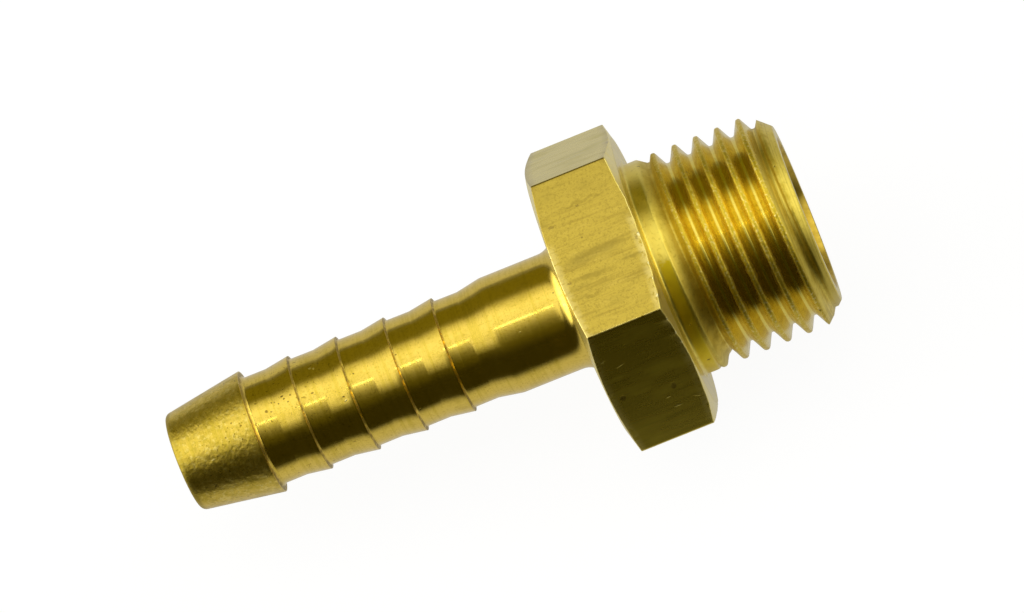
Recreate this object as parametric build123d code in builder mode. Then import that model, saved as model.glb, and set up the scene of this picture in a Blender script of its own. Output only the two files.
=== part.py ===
from build123d import *
import os
from math import ceil, cos, radians, tan

# Brass hose tail, turned in one piece from hexagon bar: a barbed tail for a push-on hose, a hexagon
# for the spanner and a parallel pipe thread, with one bore from end to end.
# Millimetres. The turning axis is X, with the thread towards +X and the barbs towards -X.
# The origin is on the axis, in the plane of the shoulder that meets the seal.
# One flat of the hexagon faces up and one faces down, which is how the piece lies on a table.

# Hexagon bar
across_flats = 17.0
hexagon_length = 5.4
face_ring_inset = 0.2
corner_chamfer_angle = 16.0

# Male thread, parallel, with the 55 degree pipe form
thread_major_diameter = 13.157
thread_pitch = 1.337
thread_depth = 0.856
thread_flank_angle = 55.0
threaded_end_length = 9.0
plain_land_length = 0.85
runout_length = 1.2
lead_chamfer_length = 1.25
lead_end_diameter = 10.86
thread_phase = 0.136

# Barbed tail
tail_length = 25.1
neck_diameter = 7.2
neck_length = 4.9
neck_fillet_length = 1.2
neck_fillet_height = 1.1
neck_fillet_arc = 75.0
barb_count = 5
barb_pitch = 3.04
barb_cone_length = 1.5
barb_back_length = 0.25
first_barb_diameter = 7.6
barb_diameter = 7.12
valley_diameter = 6.65
hose_end_diameter = 6.08
hose_end_chamfer = 0.2

# Bore
bore_diameter = 4.5

# Radii and places that follow from the sizes above
corner_radius = across_flats / 2 / cos(radians(30))
face_ring_radius = across_flats / 2 - face_ring_inset
corner_chamfer_depth = (corner_radius - face_ring_radius) * tan(radians(corner_chamfer_angle))
major_radius = thread_major_diameter / 2
minor_radius = major_radius - thread_depth
flank_slope = tan(radians(thread_flank_angle / 2))
groove_root_width = (thread_pitch - 2 * thread_depth * flank_slope) / 2
tail_face_x = -hexagon_length
hose_end_x = tail_face_x - tail_length
neck_start_x = tail_face_x - neck_length
first_edge_x = neck_start_x - barb_count * barb_pitch
neck_radius = neck_diameter / 2
hose_end_radius = hose_end_diameter / 2


# Each barb has a sharp edge, a short steep back, a straight valley and a cone up to the next edge.
# The cone behind the last barb ends on the neck.
def barb_points():
    points = [(first_edge_x, first_barb_diameter / 2)]
    for number in range(1, barb_count + 1):
        next_edge_x = first_edge_x + number * barb_pitch
        next_diameter = barb_diameter if number < barb_count else neck_diameter
        points += [
            (next_edge_x - barb_pitch + barb_back_length, valley_diameter / 2),
            (next_edge_x - barb_cone_length, valley_diameter / 2),
            (next_edge_x, next_diameter / 2),
        ]
    return points


# The thread groove is a trapezoid carried turn by turn along a right-hand helix. It stands a little
# above the crest, and all of it that lies behind the run-out cone is taken away, so the groove ends in
# a shallow ramp.
groove_overshoot = thread_depth / 6
groove_floor_half = groove_root_width / 2
groove_mouth_half = groove_floor_half + (thread_depth + groove_overshoot) * flank_slope
groove_length = threaded_end_length + thread_pitch - thread_phase
groove_turns = ceil(groove_length / thread_pitch)
runout_slope = thread_depth / runout_length
guard_rise = 2 * groove_overshoot
guard_top_x = plain_land_length - guard_rise / runout_slope
guard_foot_x = plain_land_length + (thread_depth + guard_rise) / runout_slope

with BuildPart() as thread_groove:
    with BuildLine() as groove_path:
        Helix(
            pitch=thread_pitch,
            height=groove_length,
            radius=minor_radius,
            center=(thread_phase, 0, 0),
            direction=(1, 0, 0),
        )
    turns = [
        groove_path.edge().trim(number / groove_turns, (number + 1) / groove_turns)
        for number in range(groove_turns)
    ]
    with BuildSketch(Plane.XZ):
        with BuildLine():
            Polyline(
                (thread_phase - groove_floor_half, minor_radius),
                (thread_phase - groove_mouth_half, major_radius + groove_overshoot),
                (thread_phase + groove_mouth_half, major_radius + groove_overshoot),
                (thread_phase + groove_floor_half, minor_radius),
                close=True,
            )
        make_face()
    sweep(path=Wire(turns), is_frenet=True, clean=False)
    with BuildSketch(Plane.XZ):
        with BuildLine():
            Polyline(
                (-thread_pitch, 0),
                (-thread_pitch, major_radius + guard_rise),
                (guard_top_x, major_radius + guard_rise),
                (guard_foot_x, minor_radius - guard_rise),
                (guard_foot_x, 0),
                close=True,
            )
        make_face()
    revolve(axis=Axis.X, mode=Mode.SUBTRACT)

with BuildPart() as hose_barb_tail:
    # Hexagon between its two faces, with the corners turned off by a shallow cone at each end
    with BuildSketch(Plane.YZ.offset(tail_face_x)):
        RegularPolygon(radius=across_flats / 2, side_count=6, major_radius=False)
    extrude(amount=hexagon_length)
    with BuildSketch(Plane.XZ):
        with BuildLine():
            Polyline(
                (tail_face_x, 0),
                (tail_face_x, face_ring_radius),
                (tail_face_x + corner_chamfer_depth, corner_radius),
                (-corner_chamfer_depth, corner_radius),
                (0, face_ring_radius),
                (0, 0),
                close=True,
            )
        make_face()
    revolve(axis=Axis.X, mode=Mode.INTERSECT)

    # Turned profile: hose end, barbs, neck, a core inside the hexagon and the thread at crest size.
    # The neck runs up to the hexagon in a hollow curve that ends in a short straight.
    with BuildSketch(Plane.XZ):
        with BuildLine():
            neck_curve = EllipticalCenterArc(
                center=(tail_face_x - neck_fillet_length, neck_radius + neck_fillet_height),
                x_radius=neck_fillet_length,
                y_radius=neck_fillet_height,
                start_angle=270,
                arc_size=neck_fillet_arc,
            )
            Polyline(
                neck_curve @ 1,
                (tail_face_x, neck_radius + neck_fillet_height),
                (0, major_radius),
                (threaded_end_length - lead_chamfer_length, major_radius),
                (threaded_end_length, lead_end_diameter / 2),
                (threaded_end_length, 0),
                (hose_end_x, 0),
                (hose_end_x, hose_end_radius - hose_end_chamfer),
                (hose_end_x + hose_end_chamfer, hose_end_radius),
                *barb_points(),
                neck_curve @ 0,
            )
        make_face()
    revolve(axis=Axis.X)

    # Thread
    add(thread_groove.part, mode=Mode.SUBTRACT)

    # Bore
    with BuildSketch(Plane.YZ.offset(hose_end_x)):
        Circle(bore_diameter / 2)
    extrude(amount=threaded_end_length - hose_end_x, mode=Mode.SUBTRACT)

os.makedirs("parts", exist_ok=True)
hose_barb_tail.part.label = "hose_barb_tail"
export_step(hose_barb_tail.part, "parts/hose_barb_tail.step")
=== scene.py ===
import math

import bmesh
import bpy
import numpy as np
from mathutils import Matrix, Vector


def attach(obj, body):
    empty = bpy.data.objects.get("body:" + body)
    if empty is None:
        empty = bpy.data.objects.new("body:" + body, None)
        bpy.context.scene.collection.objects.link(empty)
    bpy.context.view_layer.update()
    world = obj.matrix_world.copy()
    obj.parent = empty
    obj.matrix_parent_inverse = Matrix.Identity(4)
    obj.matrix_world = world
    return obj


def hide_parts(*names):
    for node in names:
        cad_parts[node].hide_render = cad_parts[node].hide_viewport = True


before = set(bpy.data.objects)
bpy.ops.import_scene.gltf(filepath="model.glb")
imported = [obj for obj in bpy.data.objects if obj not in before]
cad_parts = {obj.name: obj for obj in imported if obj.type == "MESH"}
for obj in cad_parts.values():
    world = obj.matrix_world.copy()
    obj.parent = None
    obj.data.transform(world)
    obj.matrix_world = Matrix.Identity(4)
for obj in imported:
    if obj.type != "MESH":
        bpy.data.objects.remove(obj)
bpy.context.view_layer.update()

MM = 0.001

# Sizes of the brass hose tail, in millimetres, as in the CAD. The axis is X, the shoulder is at X = 0.
ACROSS_FLATS = 17.0
HEX_LENGTH = 5.4
FACE_RING = 8.3
CORNER_CHAMFER = math.radians(16)
MAJOR = 13.157 / 2
PITCH = 1.337
DEPTH = 0.856
FLANK = math.tan(math.radians(27.5))
THREAD_END = 9.0
LAND = 0.85
RUNOUT = 1.2
LEAD_LENGTH = 1.25
LEAD_RADIUS = 5.43
THREAD_PHASE = 0.136
TAIL_END = -30.5
TAIL_FACE = -HEX_LENGTH
NECK_RADIUS = 3.6
NECK_START = TAIL_FACE - 4.9
NECK_FILLET_LENGTH = 1.2
NECK_FILLET_HEIGHT = 1.1
BARBS = 5
BARB_PITCH = 3.04
BARB_RADIUS = 3.56
FIRST_BARB_RADIUS = 3.8
CONE_LENGTH = 1.5
VALLEY = 3.325
FIRST_EDGE = NECK_START - BARBS * BARB_PITCH
BORE = 2.25
FLOOR_Z = -ACROSS_FLATS / 2

# Smaller shapes, which differ a little from the CAD or are made here alone
HOSE_END_RADIUS = 3.0
HOSE_END_ROUND = 0.34
BORE_MOUTH_ROUND = 0.22
BACK_LENGTH = 0.02
BARB_ROUND = 0.016
VALLEY_RISE = 0.01
LONG_EDGE_ROUND = 0.17
FACE_ROUND = 0.05
SHOULDER_ROUND = 0.22
THREAD_ROUND = 0.08
SEAT_RADIUS = 4.7
SEAT_ANGLE = math.radians(30)

# Where the thread's own grid takes over from the plain rings, and where it gives back to them
GRID_START = 0.6
GRID_END = 8.74

# Where the two runs of rings meet inside the bore
BORE_SEAM = -12.0

# Points round the axis, all of them and those on one side of the hexagon
COLUMNS = 312
SECTOR = COLUMNS // 6
SIXTH = math.radians(60)
HALF_SIXTH = math.radians(30)

# Steps in the hollow curve between the neck and the hexagon
FILLET_STEPS = 10

# How bright the white floor is to the camera, and in reflections
CAMERA_LEVEL = 0.94
GLOSS_LEVEL = 0.53

# Object material slots
TURNED = 0
FLATS = 1
THREAD = 2
BORE_WALL = 3
FACED = 4


# Smooth noise that depends on place alone, so that rows that meet stay together
def lattice(ix, iy, iz, seed):
    h = (ix * 374761393 + iy * 668265263 + iz * 2147483647 + seed * 974634777) & 0xFFFFFFFF
    h = ((h ^ (h >> 13)) * 1274126177) & 0xFFFFFFFF
    h = h ^ (h >> 16)
    return (h & 0xFFFFFF) / float(0xFFFFFF) * 2 - 1


def noise3(x, y, z, size, seed):
    px, py, pz = x / size, y / size, z / size
    fx, fy, fz = np.floor(px), np.floor(py), np.floor(pz)
    ix, iy, iz = (v.astype(np.int64) + 4096 for v in (fx, fy, fz))
    ux, uy, uz = (v * v * (3 - 2 * v) for v in (px - fx, py - fy, pz - fz))
    total = 0
    for dx in (0, 1):
        for dy in (0, 1):
            for dz in (0, 1):
                weight = (ux if dx else 1 - ux) * (uy if dy else 1 - uy) * (uz if dz else 1 - uz)
                total = total + weight * lattice(ix + dx, iy + dy, iz + dz, seed)
    return total


# Kinds of unevenness, in millimetres: height, size across, and a seed
WAVES = (0.0006, 1.1, 3)
HAMMERING = (0.0035, 0.42, 5)
CREST_WEAR = (0.014, 0.3, 7)
LONG_RAGGED = (0.035, 0.55, 11)
SHORT_RAGGED = (0.02, 0.2, 12)


def uneven(kind, x, y, z):
    height, size, seed = kind
    return height * noise3(x, y, z, size, seed)


# Rings: a path of points (X, radius) for every column, with its corners rounded
def blend_points(a, b, t):
    return (a[0] + (b[0] - a[0]) * t, a[1] + (b[1] - a[1]) * t)


def towards(a, b, distance):
    length = np.hypot(b[0] - a[0], b[1] - a[1])
    return blend_points(a, b, distance / length)


def rounded_corner(before, corner, after, cut, samples):
    """Points on the curve that rounds off a corner, from this far before it to as far after it."""
    a = towards(corner, before, cut)
    c = towards(corner, after, cut)
    curve = []
    for i in range(samples):
        t = i / (samples - 1)
        curve.append(blend_points(blend_points(a, corner, t), blend_points(corner, c, t), t))
    return curve


def all_round(value):
    return np.broadcast_to(np.asarray(value, float), (COLUMNS,))


def ring_rows(stations):
    """stations: (X, radius, rounding, samples in the rounding, spacing to the next, slot)."""
    points = [(all_round(station[0]), all_round(station[1])) for station in stations]
    rows = []
    slots = []
    last = len(stations) - 1
    for k, station in enumerate(stations):
        rounding, samples, spacing, slot = station[2:]
        here = points[k]
        start = here
        curve = [here]
        if rounding and 0 < k < last:
            start = towards(here, points[k + 1], rounding)
            curve = rounded_corner(points[k - 1], here, points[k + 1], rounding, samples)
        rows += curve
        slots += [slot] * len(curve)
        if k < last:
            end = points[k + 1]
            next_rounding = stations[k + 1][2]
            if next_rounding:
                end = towards(points[k + 1], here, next_rounding)
            length = float(np.mean(np.hypot(end[0] - start[0], end[1] - start[1])))
            steps = max(1, int(round(length / spacing)))
            for i in range(1, steps):
                rows.append(blend_points(start, end, i / steps))
                slots.append(slot)
    return rows, slots


# Angles of the columns: even on the turned parts, crowded to the corners on the hexagon
even = np.radians(np.arange(COLUMNS) * 360.0 / COLUMNS)
index = np.arange(COLUMNS)
sector_middle = np.radians(30 + 60 * (index // SECTOR))
sector_part = (index % SECTOR) / SECTOR - 0.5
crowded_local = HALF_SIXTH * np.sin(np.pi * sector_part)
crowded = sector_middle + crowded_local

# Radius of the hexagon in each column, with its six long edges rounded a little
apothem = ACROSS_FLATS / 2
inner = apothem - LONG_EDGE_ROUND
inner_half = inner * math.tan(HALF_SIXTH)
side = np.where(crowded_local < 0, -1.0, 1.0)
along_corner = inner * np.cos(crowded_local) + inner_half * side * np.sin(crowded_local)
under_root = LONG_EDGE_ROUND**2 - (inner**2 + inner_half**2) + along_corner**2
rounded = along_corner + np.sqrt(np.maximum(under_root, 0))
on_flat = np.abs(apothem * np.tan(crowded_local)) <= inner_half
hex_radius = np.where(on_flat, apothem / np.cos(crowded_local), rounded)
hex_inset = (hex_radius - FACE_RING) * math.tan(CORNER_CHAMFER)

# The edge that was turned last is left a little ragged
RIM_RADIUS = 9
ring_y = RIM_RADIUS * np.cos(crowded)
ring_z = RIM_RADIUS * np.sin(crowded)
ragged = uneven(LONG_RAGGED, ring_y, ring_z, 0 * crowded)
ragged = ragged + uneven(SHORT_RAGGED, ring_y, ring_z, 0 * crowded)

# Stations from the middle of the bore round the hose end and along to the thread
stations = [
    (BORE_SEAM, BORE, 0, 0, 4.5, BORE_WALL),
    (TAIL_END, BORE, BORE_MOUTH_ROUND, 4, 0.2, TURNED),
    (TAIL_END, HOSE_END_RADIUS, HOSE_END_ROUND, 7, 0.24, TURNED),
    (FIRST_EDGE, FIRST_BARB_RADIUS, 0.02, 3, 0.1, TURNED),
]
for number in range(1, BARBS + 1):
    edge = FIRST_EDGE + number * BARB_PITCH
    foot = edge - BARB_PITCH + BACK_LENGTH
    foot_slope = 0.10 if number > 1 else 0.18
    stations.append((foot, VALLEY + foot_slope, 0.02, 3, 0.24, TURNED))
    stations.append((foot + foot_slope, VALLEY + VALLEY_RISE, 0.06, 3, 0.4, TURNED))
    stations.append((edge - CONE_LENGTH, VALLEY, 0.04, 3, 0.3, TURNED))
    if number < BARBS:
        stations.append((edge, BARB_RADIUS, BARB_ROUND, 3, 0.1, TURNED))
    else:
        stations.append((edge, NECK_RADIUS, 0.10, 3, 0.5, TURNED))
for step in range(FILLET_STEPS + 1):
    turn = math.radians(90 * step / FILLET_STEPS)
    fillet_x = TAIL_FACE - NECK_FILLET_LENGTH + NECK_FILLET_LENGTH * math.sin(turn)
    fillet_r = NECK_RADIUS + NECK_FILLET_HEIGHT * (1 - math.cos(turn))
    stations.append((fillet_x, fillet_r, 0, 0, 0.2 if step < FILLET_STEPS else 0.8, TURNED))
stations += [
    (TAIL_FACE, FACE_RING, FACE_ROUND, 3, 0.2, FACED),
    (TAIL_FACE + hex_inset, hex_radius, FACE_ROUND, 3, 0.45, FLATS),
    (-hex_inset + ragged, hex_radius, FACE_ROUND, 4, 0.1, FACED),
    (0.0, FACE_RING, FACE_ROUND, 3, 0.25, FACED),
    (0.0, MAJOR, SHOULDER_ROUND, 5, 0.15, THREAD),
    (GRID_START, MAJOR, 0, 0, 1, THREAD),
]
front_rows, front_slots = ring_rows(stations)

# Stations from the thread's grid over the end face and the coned seat back into the bore
lead_slope = (MAJOR - LEAD_RADIUS) / LEAD_LENGTH
seat_depth = (SEAT_RADIUS - BORE) / math.tan(SEAT_ANGLE)
end_stations = [
    (GRID_END, LEAD_RADIUS + (THREAD_END - GRID_END) * lead_slope, 0, 0, 0.1, THREAD),
    (THREAD_END, LEAD_RADIUS, 0.06, 3, 0.3, FACED),
    (THREAD_END, SEAT_RADIUS, 0.04, 3, 0.6, BORE_WALL),
    (THREAD_END - seat_depth, BORE, 0.15, 4, 5.0, BORE_WALL),
    (BORE_SEAM, BORE, 0, 0, 1, BORE_WALL),
]
end_rows, end_slots = ring_rows(end_stations)

# Thread form in a plane through the axis: distance from the groove's middle to radius
root_half = (PITCH - 2 * DEPTH * FLANK) / 4
root = (0.0, MAJOR - DEPTH)
root_corner = (root_half, MAJOR - DEPTH)
crest_corner = (PITCH / 2 - root_half, MAJOR)
crest = (PITCH / 2, MAJOR)
form = [root]
form += rounded_corner(root, root_corner, crest_corner, THREAD_ROUND, 4)
form += rounded_corner(root_corner, crest_corner, crest, THREAD_ROUND, 6)
form += [crest]
form_at = np.array([p[0] for p in form])
form_radius = np.array([p[1] for p in form])


def turns_from_top(angle):
    return (np.degrees(angle) - 90) / 360


def thread_radius(x, angle):
    turns = (x - THREAD_PHASE) / PITCH - turns_from_top(angle)
    away = np.abs((turns + 0.5) % 1 - 0.5) * PITCH
    groove = np.interp(away, form_at, form_radius)
    ramp = MAJOR - (x - LAND) * DEPTH / RUNOUT
    lead = MAJOR - (x - (THREAD_END - LEAD_LENGTH)) * lead_slope
    return np.minimum(np.minimum(np.maximum(groove, ramp), MAJOR), lead)


# Rows of the thread follow the helix, at these parts of a pitch from the groove's middle
half_row = [0.0, 0.06, 0.10, 0.15, 0.26, 0.37, 0.41, 0.45]
row_parts = half_row + [0.5] + [1 - v for v in reversed(half_row[1:])]
thread_rows = []
first_turn = int(math.floor((GRID_START - THREAD_PHASE) / PITCH)) - 2
last_turn = int(math.ceil((GRID_END - THREAD_PHASE) / PITCH)) + 1
for turn_number in range(first_turn, last_turn + 1):
    for part in row_parts:
        thread_rows.append(THREAD_PHASE + (turn_number + part) * PITCH)
wrapped = np.radians(np.arange(COLUMNS + 1) * 360.0 / COLUMNS)

# Wear: how far each point of the surface lies out of its true place
# Dents and burrs: X, angle, half length along, half width across, depth (minus is raised)
DENTS = [
    (-28.43, 115.7, 0.22, 0.10, 0.02),
    (-19.95, 109.0, 0.20, 0.16, 0.02),
    (-0.30, 93.4, 0.10, 0.12, 0.05),
    (-0.15, 91.4, 0.10, 0.14, -0.06),
    (-0.12, 103.6, 0.10, 0.22, -0.07),
    (-0.20, 109.5, 0.09, 0.16, -0.07),
    (-0.33, 115.5, 0.10, 0.20, -0.08),
    (-0.36, 124.5, 0.10, 0.14, -0.08),
    (-0.25, 131.5, 0.09, 0.14, -0.07),
    (-5.12, 118.0, 0.06, 0.30, -0.015),
    (8.42, 103.7, 0.09, 0.30, -0.04),
    (7.67, 165.8, 0.16, 0.14, 0.05),
]

# How far the first barb's hammering reaches, how far down a crest is worn, and where the crests begin
HAMMERED_LENGTH = 0.8
CREST_BAND = 0.1
FIRST_CREST = 1.6


def worn(x, r, angle):
    y = r * np.cos(angle)
    z = r * np.sin(angle)
    out = uneven(WAVES, x, y, z)
    hammered = np.clip((FIRST_EDGE + HAMMERED_LENGTH - x) / HAMMERED_LENGTH, 0, 1)
    out = out + hammered * uneven(HAMMERING, x, y, z)
    on_crest = np.clip((r - MAJOR + CREST_BAND) / CREST_BAND, 0, 1) * (x > FIRST_CREST) * (x < THREAD_END)
    out = out + on_crest * uneven(CREST_WEAR, x, y, z)
    for at_x, at_angle, half_length, half_width, depth in DENTS:
        away = (angle - math.radians(at_angle) + math.pi) % (2 * math.pi) - math.pi
        out = out - depth * np.exp(-(((x - at_x) / half_length) ** 2) - (away * r / half_width) ** 2)
    return r + out


vertices = []
faces = []
face_slots = []


def add_row(x, r, angle):
    worn_r = worn(x, r, angle)
    for i in range(len(angle)):
        vertices.append((x[i], worn_r[i] * math.cos(angle[i]), worn_r[i] * math.sin(angle[i])))


def join_rows(first, width, slots):
    """Faces between rows of this width, the first of which starts at the vertex called first."""
    for k, slot in enumerate(slots):
        a = first + k * width
        b = a + width
        for i in range(COLUMNS):
            j = (i + 1) % width
            faces.append((a + i, a + j, b + j, b + i))
            face_slots.append(slot)


def add_rings(rows, slots, flat_rows):
    first = len(vertices)
    for k, (x, r) in enumerate(rows):
        add_row(x, r, crowded if flat_rows[k] else even)
    join_rows(first, COLUMNS, slots[:-1])


# Rows between the hexagon's two faces and out at its surface have the crowded columns
SLACK = 1e-6
INSIDE_HEXAGON = 8.0
hexagonal = [
    TAIL_FACE - SLACK <= float(x.min()) and float(x.max()) <= SLACK and float(r.min()) > INSIDE_HEXAGON
    for x, r in front_rows
]
add_rings(front_rows, front_slots, hexagonal)
add_rings(end_rows, end_slots, [False] * len(end_rows))

first_of_thread = len(vertices)
for base in thread_rows:
    x = np.clip(base + PITCH * turns_from_top(wrapped), GRID_START, GRID_END)
    add_row(x, thread_radius(x, wrapped), wrapped)
join_rows(first_of_thread, COLUMNS + 1, [THREAD] * (len(thread_rows) - 1))

mesh = bpy.data.meshes.new("hose_tail_brass")
mesh.from_pydata([(x * MM, y * MM, z * MM) for x, y, z in vertices], [], faces)
mesh.polygons.foreach_set("material_index", face_slots)
mesh.update()

# Points that meet become one, and faces without any width go; distances in metres
SAME_POINT = 1e-7
NO_WIDTH = 1e-8
bm = bmesh.new()
bm.from_mesh(mesh)
bmesh.ops.remove_doubles(bm, verts=bm.verts, dist=SAME_POINT)
bmesh.ops.dissolve_degenerate(bm, dist=NO_WIDTH, edges=bm.edges)
bmesh.ops.recalc_face_normals(bm, faces=bm.faces)
for f in bm.faces:
    f.smooth = True
bm.to_mesh(mesh)
bm.free()

# How rubbed each point is (sharp edges of the hexagon, thread crests), how deep it lies in the thread,
# and the crease behind each barb, where shade is painted as a dark band
HEX_SURFACE = 8.35
RUBBED_WIDTH = 0.10
THREAD_FROM = 1.5
BORE_CLEAR = 5
CREST_RUB_DEPTH = 0.16
CREST_RUB_RISE = 0.12
CREASE_SHADE_LENGTH = 0.11
CREASE_SHADE_INSIDE = 3.72
places = np.zeros(len(mesh.vertices) * 3)
mesh.vertices.foreach_get("co", places)
places = places.reshape(-1, 3) / MM
at_x = places[:, 0]
radii = np.hypot(places[:, 1], places[:, 2])
local = (np.arctan2(places[:, 2], places[:, 1]) % SIXTH) - HALF_SIXTH
ridge = np.abs(apothem * math.tan(HALF_SIXTH) - np.abs(apothem * np.tan(local)))
on_hexagon = (at_x > TAIL_FACE - 0.01) & (at_x < 0.01) & (radii > HEX_SURFACE)
inset = (radii - FACE_RING) * math.tan(CORNER_CHAMFER)
rim = np.minimum(np.abs(at_x - TAIL_FACE - inset), np.abs(at_x + inset))
rub = on_hexagon * np.clip(1 - np.minimum(ridge, rim) / RUBBED_WIDTH, 0, 1)
on_thread = (at_x > THREAD_FROM) & (at_x < THREAD_END - 0.05) & (radii > BORE_CLEAR)
crest_rub = np.clip((radii - MAJOR + CREST_RUB_DEPTH) / CREST_RUB_RISE, 0, 1)
rub = np.maximum(rub, on_thread * crest_rub)
depth = on_thread * np.clip((MAJOR - radii) / DEPTH, 0, 1)
behind = (at_x - FIRST_EDGE + 0.01) % BARB_PITCH
on_barbs = (at_x < NECK_START - 1) & (at_x > FIRST_EDGE - 0.02) & (radii < CREASE_SHADE_INSIDE)
crease_shade = (behind < CREASE_SHADE_LENGTH) & on_barbs
for name, values in (("rub", rub), ("depth", depth), ("crease_shade", crease_shade * 1.0)):
    layer = mesh.attributes.new(name, "FLOAT", "POINT")
    layer.data.foreach_set("value", values.astype(np.float32))
tail = bpy.data.objects.new("hose_tail_brass", mesh)
bpy.context.scene.collection.objects.link(tail)
weighted = tail.modifiers.new("even_shading", "WEIGHTED_NORMAL")
weighted.mode = "FACE_AREA"
weighted.weight = 60
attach(tail, "root")
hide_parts("hose_barb_tail")


# Materials: nodes and the layers of a brass surface
def material(name):
    mat = bpy.data.materials.new(name)
    mat.use_nodes = True
    return mat


def node(tree, kind, inputs=(), **settings):
    made = tree.nodes.new("ShaderNode" + kind)
    for key, value in settings.items():
        setattr(made, key, value)
    for key, value in dict(inputs).items():
        if isinstance(value, bpy.types.NodeSocket):
            tree.links.new(value, made.inputs[key])
        else:
            made.inputs[key].default_value = value
    return made


def maths(tree, operation, *values):
    return node(tree, "Math", enumerate(values), operation=operation).outputs[0]


def vectors(tree, operation, *values):
    return node(tree, "VectorMath", enumerate(values), operation=operation).outputs[0]


def smooth(tree, value, low, high, least=0.0, most=1.0):
    """The least at low and the most at high, smooth between."""
    made = node(
        tree,
        "MapRange",
        {"Value": value, "From Min": low, "From Max": high, "To Min": least, "To Max": most},
        interpolation_type="SMOOTHSTEP",
    )
    return made.outputs["Result"]


# How finely and how far the outline of a mark wanders
FINE_OUTLINE = (7.0, 0.10)
BROAD_OUTLINE = (1.6, 0.7)

# Where a mark is full and where it is gone, in parts of its half size
MARK_FULL = 0.5
MARK_GONE = 1.1


class Brass:
    """A brass surface built up from procedural layers, in millimetres on the object."""

    def __init__(self, name, colour, rough, stretch, coat=0.0):
        self.mat = material(name)
        self.tree = self.mat.node_tree
        self.shader = self.tree.nodes["Principled BSDF"]
        self.shader.inputs["Metallic"].default_value = 1.0
        self.shader.inputs["Anisotropic"].default_value = stretch
        self.shader.inputs["Anisotropic Rotation"].default_value = 0.25
        self.shader.inputs["Coat Weight"].default_value = coat
        self.shader.inputs["Coat Roughness"].default_value = 0.22
        if stretch:
            tangent = node(self.tree, "Tangent", direction_type="RADIAL", axis="X")
            self.tree.links.new(tangent.outputs[0], self.shader.inputs["Tangent"])
        coords = node(self.tree, "TexCoord")
        self.mm = self.scaled(coords.outputs["Object"], (1000, 1000, 1000))
        split = node(self.tree, "SeparateXYZ", {0: self.mm})
        self.x, self.y = split.outputs["X"], split.outputs["Y"]
        self.shaken = self.shake(*FINE_OUTLINE)
        self.colour = (*colour, 1)
        self.rough = rough
        self.height = 0.0

    def scaled(self, vector, factors):
        return vectors(self.tree, "MULTIPLY", vector, factors)

    def sum(self, a, b):
        return maths(self.tree, "ADD", a, b)

    def times(self, a, b):
        return maths(self.tree, "MULTIPLY", a, b)

    def band(self, value, low, high):
        """0 at low, 1 at high, smooth between."""
        return smooth(self.tree, value, low, high)

    def noise(self, factors, detail=3.0, rough=0.5, low=0.0, high=1.0):
        """Noise of these frequencies along the axes, per millimetre, with its contrast raised."""
        made = node(
            self.tree,
            "TexNoise",
            {"Vector": self.scaled(self.mm, factors), "Scale": 1.0, "Detail": detail, "Roughness": rough},
        )
        return self.band(made.outputs["Fac"], low, high)

    def shake(self, scale, reach):
        """The place on the object, moved about by noise, for marks with an uneven outline."""
        wobble = node(self.tree, "TexNoise", {"Vector": self.mm, "Scale": scale, "Detail": 2.0})
        centred = vectors(self.tree, "SUBTRACT", wobble.outputs["Color"], (0.5, 0.5, 0.5))
        small = node(self.tree, "VectorMath", {0: centred, "Scale": reach}, operation="SCALE")
        return vectors(self.tree, "ADD", small.outputs[0], self.mm)

    def mark(self, x, angle, radius, half_length, half_width, skew=0.0):
        """One irregular spot or scratch at a place on the surface."""
        a = math.radians(angle)
        centre = Vector((x, radius * math.cos(a), radius * math.sin(a)))
        moved = vectors(self.tree, "SUBTRACT", self.shaken, centre)
        if skew:
            turned_by = {"Vector": moved, "Axis": centre.normalized(), "Angle": math.radians(skew)}
            moved = node(self.tree, "VectorRotate", turned_by).outputs[0]
        shaped = self.scaled(moved, (1 / half_length, 1 / half_width, 1 / half_width))
        away = node(self.tree, "VectorMath", {0: shaped}, operation="LENGTH")
        return self.band(away.outputs["Value"], MARK_GONE, MARK_FULL)

    def marks(self, rows, colour, strength, height):
        """Marks from rows of X, angle, radius, half length, half width and, for some, a skew in degrees."""
        all_marks = 0.0
        for row in rows:
            all_marks = maths(self.tree, "MAXIMUM", all_marks, self.mark(*row))
        self.tint(colour, self.times(all_marks, strength))
        if height:
            self.raise_by(height, all_marks)

    def attribute(self, name):
        return node(self.tree, "Attribute", attribute_name=name).outputs["Fac"]

    def tint(self, colour, factor):
        sockets = {"Factor": factor, "A": self.colour, "B": (*colour, 1)}
        made = node(self.tree, "Mix", sockets, data_type="RGBA")
        self.colour = made.outputs["Result"]

    def dull(self, amount, factor):
        self.rough = self.sum(self.rough, self.times(factor, amount))

    def raise_by(self, amount, factor):
        self.height = self.sum(self.height, self.times(factor, amount))

    def finish(self):
        for key, value in (("Base Color", self.colour), ("Roughness", self.rough)):
            if isinstance(value, bpy.types.NodeSocket):
                self.tree.links.new(value, self.shader.inputs[key])
            else:
                self.shader.inputs[key].default_value = value
        # Heights are in thousandths of a millimetre
        bump = node(self.tree, "Bump", {"Strength": 1.0, "Distance": 1e-6, "Height": self.height})
        self.tree.links.new(bump.outputs[0], self.shader.inputs["Normal"])
        return self.mat


CLEAN = (0.83, 0.60, 0.10)
DIRT = (0.22, 0.14, 0.015)
STAIN = (0.30, 0.21, 0.015)
PALE = (0.95, 0.85, 0.40)

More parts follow.
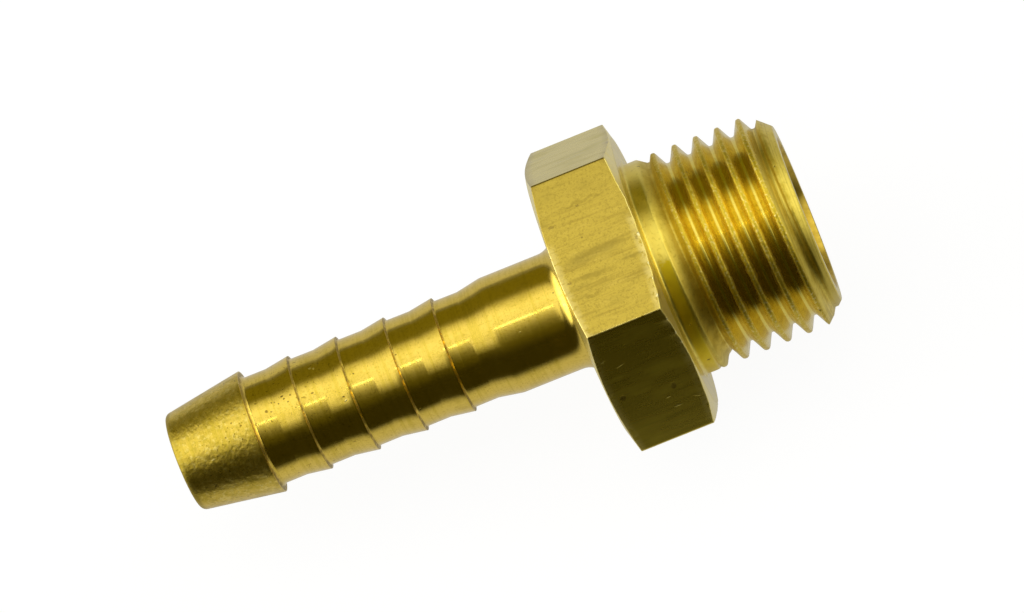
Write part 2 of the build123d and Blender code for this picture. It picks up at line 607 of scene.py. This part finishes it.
# The turned tail: cloudy, with turning lines, and mottled on the first barb
turned = Brass("brass_turned", CLEAN, 0.18, 0.7)
near_hose = turned.band(turned.x, -14.0, -23.0)
first_barb = turned.band(turned.x, FIRST_EDGE + 0.05, FIRST_EDGE - 0.05)
clouds = turned.noise((0.45, 0.8, 0.8), 5, 0.6, 0.48, 0.70)
turned.tint((0.64, 0.46, 0.05), turned.times(clouds, 0.5))
fine_grain = turned.noise((7, 7, 7), 3, 0.65, 0.50, 0.72)
turned.tint((0.54, 0.37, 0.02), turned.times(fine_grain, 0.6))
mottle = turned.times(turned.noise((3.2, 3.2, 3.2), 5, 0.7, 0.42, 0.72), first_barb)
turned.tint((0.40, 0.30, 0.03), turned.times(mottle, 0.75))
# Painted glints: pale specks on the first barb
first_barb_glints = turned.times(turned.noise((3.6, 3.6, 3.6), 3, 0.7, 0.52, 0.64), first_barb)
turned.tint((0.98, 0.80, 0.24), turned.times(first_barb_glints, 0.6))
tooled = turned.noise((5, 0.12, 0.12), 3, 0.6, 0.46, 0.66)
turned.tint((0.62, 0.45, 0.03), turned.times(tooled, 0.45))
turned.tint((0.52, 0.38, 0.03), turned.times(first_barb, 0.30))
specks = turned.times(turned.noise((5.0, 5.0, 5.0), 3, 0.6, 0.61, 0.69), near_hose)
turned.tint((0.34, 0.23, 0.015), turned.times(specks, 0.8))
# Painted shade: the crease behind each barb is darker and rougher
crease_shade_patches = turned.times(turned.attribute("crease_shade"), turned.noise((2, 2, 2), 3, 0.6, 0.20, 0.60))
turned.tint((0.36, 0.26, 0.06), turned.times(crease_shade_patches, 0.85))
hose_end = turned.band(turned.x, TAIL_END + 0.50, TAIL_END + 0.20)
turned.tint((0.40, 0.30, 0.03), turned.times(hose_end, 0.6))
turned.dull(0.16, first_barb)
turned.dull(0.12, hose_end)
turned.dull(0.08, clouds)
turned.dull(0.35, crease_shade_patches)
turned.raise_by(2.4, turned.noise((7, 0.10, 0.10), 2, 0.5))
turned.raise_by(0.9, turned.noise((24, 0.25, 0.25), 2, 0.5))
turned.raise_by(0.5, turned.noise((8, 8, 8), 3, 0.6))
turned.raise_by(9.0, turned.times(turned.noise((3.6, 2.8, 2.8), 3, 0.6, 0.35, 0.65), first_barb))
turned.raise_by(-1.5, specks)
TAIL_PITS = [
    (-24.45, 91.0, 3.36, 0.12, 0.11),
    (-24.20, 93.4, 3.36, 0.09, 0.07),
    (-24.30, 98.0, 3.36, 0.10, 0.06),
    (-24.00, 84.0, 3.36, 0.07, 0.07),
    (-23.62, 88.5, 3.36, 0.06, 0.06),
    (-23.30, 82.6, 3.42, 0.11, 0.08),
    (-23.22, 86.0, 3.42, 0.09, 0.07),
    (-23.05, 90.5, 3.46, 0.07, 0.05),
    (-22.80, 85.0, 3.50, 0.06, 0.06),
    (-22.50, 108.0, 3.40, 0.08, 0.06),
    (-23.10, 102.0, 3.40, 0.06, 0.05),
    (-21.55, 91.0, 3.33, 0.10, 0.07),
    (-20.98, 97.2, 3.40, 0.09, 0.06),
    (-20.85, 99.5, 3.40, 0.08, 0.07),
    (-20.67, 134.5, 3.45, 0.10, 0.07),
    (-20.30, 112.0, 3.48, 0.08, 0.05),
    (-19.90, 106.5, 3.50, 0.12, 0.05),
    (-18.90, 88.0, 3.33, 0.06, 0.05),
    (-16.20, 86.0, 3.34, 0.06, 0.06),
    (-12.80, 84.0, 3.60, 0.06, 0.05),
    (-6.31, 89.4, 3.68, 0.09, 0.08),
    (-26.10, 96.0, 3.70, 0.09, 0.07),
    (-26.60, 90.0, 3.62, 0.07, 0.06),
    (-26.90, 93.0, 3.60, 0.06, 0.05),
    (-27.20, 101.0, 3.52, 0.07, 0.06),
    (-26.30, 108.0, 3.67, 0.06, 0.06),
    (-25.30, 152.0, 3.55, 0.16, 0.12),
    (-16.10, 150.0, 3.40, 0.10, 0.10),
]
TAIL_GLINTS = [
    (-28.43, 116.5, 3.33, 0.20, 0.035),
    (-21.26, 63.2, 3.33, 0.13, 0.06, 20),
    (-21.05, 64.8, 3.33, 0.07, 0.05),
    (-19.87, 110.5, 3.50, 0.10, 0.05, -35),
    (-12.76, 80.9, 3.60, 0.16, 0.03, 40),
    (-12.40, 78.0, 3.60, 0.10, 0.03, 40),
    (-8.92, 112.0, 3.60, 0.07, 0.03),
]
turned.marks(TAIL_PITS, DIRT, 0.85, -5.0)
turned.marks(TAIL_GLINTS, PALE, 0.5, 7.0)
mesh.materials.append(turned.finish())

# The flats of the hexagon: drawn bar, streaked along the axis and stained. The upper flat ends here, on
# both sides, and the next one begins
FLAT_EDGE = 4.90
NEXT_FLAT = 4.98
flats = Brass("brass_flats", (0.52, 0.378, 0.040), 0.27, 0, 0.45)
stains = flats.noise((0.30, 0.9, 0.9), 5, 0.6, 0.46, 0.74)
flats.tint((0.38, 0.275, 0.03), flats.times(stains, 0.8))
streaks = flats.noise((0.25, 5, 5), 4, 0.65, 0.48, 0.74)
flats.tint((0.34, 0.235, 0.02), flats.times(streaks, 0.75))
pale = flats.noise((0.7, 3.5, 3.5), 4, 0.6, 0.50, 0.75)
flats.tint((0.60, 0.44, 0.06), flats.times(pale, 0.5))
# Painted shade: the upper flat grows darker towards its edge at plus Y
flats.tint((0.42, 0.305, 0.032), flats.times(flats.band(flats.y, 0.5, 4.9), 0.5))
bar_grain = flats.noise((9, 9, 9), 3, 0.65, 0.46, 0.72)
upward = flats.band(flats.y, -NEXT_FLAT, -FLAT_EDGE)
flats.tint(STAIN, flats.times(bar_grain, flats.sum(0.20, flats.times(upward, 0.50))))
# Painted light: the flats on both sides of the upper one are painted brighter, face by face, one of them
# half as much
one_side = flats.band(flats.y, FLAT_EDGE, NEXT_FLAT)
other_side = flats.band(flats.y, -FLAT_EDGE, -NEXT_FLAT)
brighter = flats.sum(one_side, flats.times(other_side, 0.5))
flats.tint((0.88, 0.70, 0.025), flats.times(brighter, 0.75))
flats.tint((0.46, 0.37, 0.02), flats.times(flats.times(brighter, streaks), 0.85))
flats.tint((0.60, 0.49, 0.02), flats.times(flats.times(brighter, stains), 0.6))
rubbed = flats.times(flats.attribute("rub"), flats.noise((3.5, 3.5, 3.5), 3, 0.6, 0.34, 0.50))
# Painted highlight: the rubbed ridges and rims on the lower side are pale
lower_ridge_highlight = flats.times(rubbed, flats.band(flats.y, 1.4, 0.6))
flats.tint((0.90, 0.74, 0.24), lower_ridge_highlight)
# Painted shade: a dark line along the upper ridge
upper_ridge_shade = flats.times(flats.attribute("rub"), flats.band(flats.y, 4.4, 4.7))
flats.tint((0.30, 0.20, 0.02), flats.times(upper_ridge_shade, 0.8))
flats.dull(0.10, stains)
flats.dull(0.05, rubbed)
flats.raise_by(0.8, flats.noise((0.35, 10, 10), 3, 0.6))
flats.raise_by(0.3, flats.noise((5, 5, 5), 3, 0.6))
FLAT_STAINS = [
    (-2.6, 91.0, 8.50, 2.3, 0.22),
    (-3.3, 99.8, 8.62, 1.6, 0.20),
    (-1.0, 98.6, 8.60, 0.8, 0.16),
    (-4.0, 106.5, 8.86, 0.9, 0.15),
    (-2.4, 71.0, 8.99, 1.8, 0.15),
]
fine_outline = flats.shaken
flats.shaken = flats.shake(*BROAD_OUTLINE)
flats.marks(FLAT_STAINS, STAIN, 0.55, 0)
flats.shaken = fine_outline
FLAT_PITS = [
    (-4.70, 75.9, 8.76, 0.24, 0.10),
    (-2.84, 71.8, 8.95, 0.12, 0.08),
    (-4.82, 99.6, 8.62, 0.16, 0.09),
    (-3.21, 84.0, 8.55, 0.07, 0.05),
    (-0.30, 92.4, 8.50, 0.10, 0.16),
    (-1.64, 156.4, 8.55, 0.20, 0.28, 20),
    (-4.60, 152.7, 8.50, 0.20, 0.22),
    (-3.20, 128.5, 9.15, 0.14, 0.06),
]
# Burrs on the rim, raised as bumps, with pale highlights painted on them
RIM_BURR_GLINTS = [
    (-0.10, 91.4, 8.50, 0.13, 0.14),
    (-0.14, 103.6, 8.74, 0.09, 0.13),
    (-0.21, 109.5, 9.02, 0.08, 0.12),
    (-0.33, 115.5, 9.42, 0.09, 0.14),
    (-0.33, 124.5, 9.42, 0.08, 0.12),
    (-0.20, 131.5, 8.96, 0.08, 0.12),
    (-0.14, 137.0, 8.72, 0.06, 0.09),
]
# Scratches, raised as bumps, with pale glints painted on them
FLAT_SCRATCH_GLINTS = [
    (-1.89, 166.6, 8.87, 0.28, 0.06),
    (-0.62, 165.6, 8.82, 0.34, 0.04, 25),
    (-3.98, 136.7, 8.74, 0.40, 0.04, -15),
    (-4.75, 132.0, 8.93, 0.22, 0.05, -20),
    (-2.20, 161.0, 8.65, 0.16, 0.05),
]
flats.marks(FLAT_PITS, DIRT, 0.55, -6.0)
# Painted glints: pale tint on the scratches
flats.marks(FLAT_SCRATCH_GLINTS, PALE, 0.35, 5.0)
# Painted highlights: pale tint on the burrs of the rim
flats.marks(RIM_BURR_GLINTS, PALE, 0.9, 12.0)
mesh.materials.append(flats.finish())

# The threaded end: tarnished flanks, worn crests, a scuffed land and a lead chamfer with turned lines
thread = Brass("brass_thread", (0.82, 0.65, 0.11), 0.19, 0.5)
deep = thread.attribute("depth")
worn_crest = thread.attribute("rub")
tarnish = thread.noise((1.2, 1.2, 1.2), 4, 0.6, 0.40, 0.68)
flank = thread.times(deep, thread.band(deep, 0.97, 0.86))
thread.tint((0.60, 0.42, 0.025), thread.times(thread.times(flank, tarnish), 0.85))
thread.tint((0.72, 0.53, 0.04), worn_crest)
thread_grain = thread.noise((5, 5, 5), 4, 0.65, 0.52, 0.70)
thread.tint((0.48, 0.34, 0.02), thread.times(thread_grain, 0.45))
# Painted glints: pale specks on the worn crests
crest_glints = thread.times(thread.noise((7, 7, 7), 2, 0.6, 0.53, 0.62), worn_crest)
thread.tint((0.93, 0.76, 0.26), thread.times(crest_glints, 0.75))
thread.dull(0.24, worn_crest)
thread.dull(0.08, tarnish)
# The lower part of the plain land is left dull and olive from the tool, with an uneven border
border = thread.noise((3, 3, 3), 4, 0.6)
edge_y = thread.sum(thread.y, thread.times(border, 0.9))
scuffed_y = thread.band(edge_y, -1.05, -1.35)
scuffed_x = thread.times(thread.band(thread.x, 1.0, 0.8), thread.band(thread.x, 0.12, 0.3))
scuffed = thread.times(scuffed_x, scuffed_y)
thread.tint((0.80, 0.61, 0.02), scuffed)
thread.dull(0.17, scuffed)
runout = thread.band(thread.x, 2.3, 1.6)
thread.dull(0.12, runout)
groove_ramp = thread.times(runout, thread.band(thread.x, 0.85, 1.15))
thread.tint((0.60, 0.46, 0.05), thread.times(thread.times(groove_ramp, tarnish), 0.5))
thread.dull(0.20, groove_ramp)
lead_start = THREAD_END - LEAD_LENGTH
lead = thread.band(thread.x, lead_start - 0.1, lead_start + 0.1)
thread.dull(0.24, lead)
lines = thread.times(thread.noise((5, 0.05, 0.05), 2, 0.6, 0.44, 0.56), lead)
thread.tint((0.42, 0.31, 0.03), thread.times(lines, 0.5))
thread.raise_by(2.0, thread.noise((9, 0.10, 0.10), 2, 0.5))
thread.raise_by(2.0, thread.times(thread.noise((5, 5, 5), 4, 0.65), scuffed_x))
thread.raise_by(22.0, thread.times(thread.noise((5, 0.05, 0.05), 2, 0.6), lead))
thread.raise_by(13.0, thread.times(thread.noise((6, 6, 6), 3, 0.6), worn_crest))
THREAD_MARKS = [
    (1.50, 98.0, 6.57, 0.44, 0.05),
    (1.62, 95.6, 6.40, 0.18, 0.06),
    (8.27, 93.5, 6.10, 0.18, 0.07),
    (7.67, 165.8, 6.55, 0.18, 0.09, 30),
    (0.63, 169.7, 6.58, 0.14, 0.06),
    (1.87, 156.3, 6.20, 0.20, 0.06, 20),
    (1.10, 36.0, 6.50, 0.50, 0.07, -40),
    (0.55, 140.0, 6.58, 0.06, 0.05),
    (3.60, 60.0, 6.40, 0.10, 0.08),
    (8.40, 76.0, 5.95, 0.10, 0.07),
]
thread.marks(THREAD_MARKS, DIRT, 0.85, -14.0)
mesh.materials.append(thread.finish())

# The chamfers and faces of the hexagon, turned with a coarse tool
faced = Brass("brass_faced", (0.80, 0.63, 0.05), 0.42, 0.3, 0.6)
faced.tint((0.52, 0.39, 0.02), faced.times(faced.noise((1.5, 1.5, 1.5), 4, 0.6, 0.42, 0.66), 0.4))
faced.raise_by(3.0, faced.noise((2, 2, 2), 3, 0.6))
faced.raise_by(2.0, faced.noise((7, 7, 7), 3, 0.6))
# Rubbed edges painted paler than clean brass: wear, and a painted highlight along them
faced.tint((0.95, 0.80, 0.25), faced.times(faced.attribute("rub"), 0.8))
# Painted highlights: pale tint on the burrs of the rim
faced.marks(RIM_BURR_GLINTS, PALE, 0.9, 12.0)

# The bore's wall and the coned seat
bore = Brass("brass_bore", (0.60, 0.42, 0.06), 0.32, 0.5)
bore.tint((0.40, 0.27, 0.03), bore.noise((0.5, 1, 1), 4, 0.6, 0.40, 0.65))
bore.raise_by(4.0, bore.noise((5, 0.10, 0.10), 2, 0.5))
mesh.materials.append(bore.finish())
mesh.materials.append(faced.finish())

# Camera: fitted to the photograph, long lens, looking down on the piece
TILT = math.radians(4.80)
SIDE_ON = math.radians(18.41)
ROLL = math.radians(21.898)
LOOKED_AT = Vector((-0.43, 0, 0))
SHIFT_ALONG = 8.638
SHIFT_ACROSS = 1.334
DISTANCE = 420
FOCAL_PIXELS = 7185
PICTURE_WIDTH = 1024
SENSOR_WIDTH = 36
down = math.sin(TILT)
level = math.cos(TILT)
along = Vector((level, down * math.sin(SIDE_ON), -down * math.cos(SIDE_ON)))
across = Vector((0.0, -math.cos(SIDE_ON), -math.sin(SIDE_ON)))
towards_camera = Vector((down, -level * math.sin(SIDE_ON), level * math.cos(SIDE_ON)))
image_right = math.cos(ROLL) * along + math.sin(ROLL) * across
image_up = math.sin(ROLL) * along - math.cos(ROLL) * across
eye = LOOKED_AT - SHIFT_ALONG * along - SHIFT_ACROSS * across + DISTANCE * towards_camera
camera_data = bpy.data.cameras.new("camera")
camera_data.sensor_fit = "HORIZONTAL"
camera_data.sensor_width = SENSOR_WIDTH
camera_data.lens = FOCAL_PIXELS / PICTURE_WIDTH * SENSOR_WIDTH
camera_data.clip_start = 0.01
camera_data.clip_end = 20
camera = bpy.data.objects.new("camera", camera_data)
camera.matrix_world = Matrix(
    (
        (image_right.x, image_up.x, towards_camera.x, eye.x * MM),
        (image_right.y, image_up.y, towards_camera.y, eye.y * MM),
        (image_right.z, image_up.z, towards_camera.z, eye.z * MM),
        (0, 0, 0, 1),
    )
)
bpy.context.scene.collection.objects.link(camera)
bpy.context.scene.camera = camera


def sheet(name, corners):
    """A flat piece of the surroundings, from corners in millimetres with heights above the floor."""
    sheet_mesh = bpy.data.meshes.new(name)
    points = [(x * MM, y * MM, (FLOOR_Z + z) * MM) for x, y, z in corners]
    sheet_mesh.from_pydata(points, [], [(0, 1, 2, 3)])
    made = bpy.data.objects.new(name, sheet_mesh)
    bpy.context.scene.collection.objects.link(made)
    return made


# Floor: pale, white to the camera and in reflections, with the object's soft shadow
FLOOR_REACH = 3000
floor = sheet(
    "floor",
    [
        (-FLOOR_REACH, -FLOOR_REACH, 0),
        (FLOOR_REACH, -FLOOR_REACH, 0),
        (FLOOR_REACH, FLOOR_REACH, 0),
        (-FLOOR_REACH, FLOOR_REACH, 0),
    ],
)
floor_pale = material("floor_pale")
floor_tree = floor_pale.node_tree
floor_tree.nodes.clear()
path = node(floor_tree, "LightPath").outputs
floor_place = node(floor_tree, "TexCoord").outputs["Object"]
on_floor = node(floor_tree, "SeparateXYZ", {0: floor_place}).outputs

# In reflections it dims towards the front, far behind and to both ends: axis, full at, least from, least
FLOOR_FADES = [
    ("Y", -0.015, -0.042, 0.07),
    ("Y", 0.07, 0.20, 0.35),
    ("X", 0.030, 0.08, 0.80),
]
reflected = path["Is Glossy Ray"]
for axis, near, far, least in FLOOR_FADES:
    fade = smooth(floor_tree, on_floor[axis], far, near, least)
    reflected = maths(floor_tree, "MULTIPLY", reflected, fade)
seen = maths(floor_tree, "MAXIMUM", path["Is Camera Ray"], path["Is Transmission Ray"])
seen = maths(floor_tree, "MULTIPLY", seen, CAMERA_LEVEL)
shown = maths(floor_tree, "MULTIPLY_ADD", reflected, GLOSS_LEVEL, seen)
diffuse = node(floor_tree, "BsdfDiffuse", {"Color": (0.10, 0.10, 0.10, 1)}).outputs[0]
glow = node(floor_tree, "Emission", {"Strength": shown}).outputs[0]
surface = node(floor_tree, "AddShader", {0: diffuse, 1: glow}).outputs[0]
node(floor_tree, "OutputMaterial", {"Surface": surface})
floor.data.materials.append(floor_pale)

# Light: a broad soft panel overhead and behind with soft edges, in a dim warm room
SOFTBOX_AT = -25
STRIP_AT = -16.2
PANEL_DISTANCE = 0.6


def overhead(degrees, along_axis):
    """Direction seen from the piece: 0 is the camera's side, minus the back; then how far along X."""
    a = math.radians(degrees)
    b = math.radians(along_axis)
    straight = towards_camera.copy()
    straight.x = 0.0
    straight.normalize()
    return (straight * math.cos(a) + across * math.sin(a)) * math.cos(b) + Vector((math.sin(b), 0, 0))


def panel(name, degrees, along_axis, length, width, radiance):
    """A light panel that faces the piece, in metres."""
    data = bpy.data.lights.new(name, "AREA")
    data.shape = "RECTANGLE"
    data.size = length
    data.size_y = width
    data.energy = radiance * math.pi * length * width
    lamp = bpy.data.objects.new(name, data)
    outward = overhead(degrees, along_axis)
    level_x = (Vector((1, 0, 0)) - outward * outward.x).normalized()
    level_y = outward.cross(level_x)
    turned_to = Matrix((level_x, level_y, outward)).transposed()
    lamp.matrix_world = Matrix.Translation(outward * PANEL_DISTANCE) @ turned_to.to_4x4()
    bpy.context.scene.collection.objects.link(lamp)
    return lamp


softbox = panel("softbox", SOFTBOX_AT, 0, 1.0, 1.2, 1.23)
panel("strip", STRIP_AT, -3.5, 0.16, 0.014, 5.2)
panel("strip_left", STRIP_AT, -68, 0.35, 0.016, 4.0)
panel("strip_right", STRIP_AT, 68, 0.35, 0.016, 4.0)

# The softbox falls off softly to the back and the front: degrees as above, then the level there
BACK_EDGE = [
    (-70, 0),
    (-66, 0.05),
    (-63, 0.15),
    (-58, 0.45),
    (-54, 0.60),
    (-50, 0.76),
    (-45, 0.90),
    (-38, 1),
]
FRONT_EDGE = [
    (-38, 1),
    (-28, 0.92),
    (-22, 0.84),
    (-16, 0.74),
    (-13, 0.62),
    (-10.5, 0.47),
    (-8, 0.37),
    (-4, 0.25),
    (0, 0.155),
    (4, 0.08),
    (8, 0.05),
    (12, 0.03),
    (16, 0.01),
    (19.5, 0),
]

# To the left, from this part of the panel's length on, the front edge comes forward at this rate
FORWARD_FROM = 0.45
FORWARD_RATE = -0.62

softbox.data.use_nodes = True
softbox_tree = softbox.data.node_tree
panel_place = node(softbox_tree, "NewGeometry").outputs["Parametric"]
on_panel = node(softbox_tree, "SeparateXYZ", {0: panel_place}).outputs
left = maths(softbox_tree, "SUBTRACT", on_panel["X"], FORWARD_FROM)
left = maths(softbox_tree, "MINIMUM", left, 0.0)
forward = maths(softbox_tree, "MULTIPLY_ADD", left, FORWARD_RATE, on_panel["Y"])


def falloff(stops, source):
    made = node(softbox_tree, "ValToRGB", {"Fac": source})
    at_stops = sorted((0.5 - 0.5 * math.tan(math.radians(d - SOFTBOX_AT)), v) for d, v in stops)
    while len(made.color_ramp.elements) < len(at_stops):
        made.color_ramp.elements.new(0.5)
    for element, (at, v) in zip(made.color_ramp.elements, at_stops):
        element.position = at
        element.color = (v, v, v, 1)
    return made.outputs["Color"]


both = maths(softbox_tree, "MULTIPLY", falloff(BACK_EDGE, on_panel["Y"]), falloff(FRONT_EDGE, forward))
softbox_tree.links.new(both, softbox_tree.nodes["Emission"].inputs["Strength"])

# The room: dim and warm, with soft patches, paler to the sides. Each patch: degrees round the axis and
# along it, full within, gone beyond, radiance
ROOM_COLOUR = (0.034, 0.030, 0.003)
BEHIND = (-85, 0, 8, 62, (0.150, 0.135, 0.012))
IN_FRONT = (-5, -6, 10, 46, (0.075, 0.070, 0.012))
ON_THE_LEFT = (-60, -75, 10, 43, (3.0, 3.0, 2.9))
ON_THE_RIGHT = (-60, 74, 16, 38, (1.9, 1.9, 1.8))
world = bpy.data.worlds.new("room")
bpy.context.scene.world = world
world.use_nodes = True
room_tree = world.node_tree
direction = node(room_tree, "TexCoord").outputs["Generated"]
room = ROOM_COLOUR
for degrees, along_axis, full, gone, radiance in (BEHIND, IN_FRONT, ON_THE_LEFT, ON_THE_RIGHT):
    centre = overhead(degrees, along_axis)
    facing = node(room_tree, "VectorMath", {0: direction, 1: centre}, operation="DOT_PRODUCT")
    rim_level = math.cos(math.radians(gone))
    full_level = math.cos(math.radians(full))
    soft = smooth(room_tree, facing.outputs["Value"], rim_level, full_level)
    patch = node(room_tree, "VectorMath", {0: radiance, "Scale": soft}, operation="SCALE")
    room = vectors(room_tree, "ADD", patch.outputs[0], room)

# A pale low backdrop runs all round behind the floor, and shows more in reflections at both ends
BACKDROP_TOP = math.sin(math.radians(3.6))
BACKDROP_FULL = math.sin(math.radians(2.8))
END_STARTS = 0.82
END_FULL = 0.96
SIDE_LEVEL = 0.2
END_LEVEL = 0.8
sky = node(room_tree, "SeparateXYZ", {0: direction}).outputs
upper_edge = {"Value": sky["Z"], "From Min": BACKDROP_TOP, "From Max": BACKDROP_FULL}
low_down = node(room_tree, "MapRange", upper_edge)
room_path = node(room_tree, "LightPath").outputs
room_seen = maths(room_tree, "MAXIMUM", room_path["Is Camera Ray"], room_path["Is Transmission Ray"])
endwise = maths(room_tree, "ABSOLUTE", sky["X"])
low_level = smooth(room_tree, endwise, END_STARTS, END_FULL, SIDE_LEVEL, END_LEVEL)
backdrop = maths(room_tree, "MULTIPLY_ADD", room_path["Is Glossy Ray"], low_level, room_seen)
sockets = {"Factor": low_down.outputs["Result"], "A": room, "B": backdrop}
whole_room = node(room_tree, "Mix", sockets, data_type="RGBA").outputs["Result"]
background = room_tree.nodes["Background"]
room_tree.links.new(whole_room, background.inputs["Color"])
background.inputs["Strength"].default_value = 1.0

# A dark card stands low in front and is only there for reflections
CARD_HALF = 250
CARD_FOOT = (-45, 0.3)
CARD_TOP = (-110, 60)
card = sheet(
    "dark_card",
    [(-CARD_HALF, *CARD_FOOT), (CARD_HALF, *CARD_FOOT), (CARD_HALF, *CARD_TOP), (-CARD_HALF, *CARD_TOP)],
)
card.visible_camera = False
card.visible_diffuse = False
card.visible_shadow = False
card_black = material("card_black")
card_shader = card_black.node_tree.nodes["Principled BSDF"]
card_shader.inputs["Base Color"].default_value = (0.045, 0.040, 0.005, 1)
card_shader.inputs["Roughness"].default_value = 1.0
card_shader.inputs["Specular IOR Level"].default_value = 0.0
card.data.materials.append(card_black)

bpy.context.scene.view_settings.view_transform = "Standard"
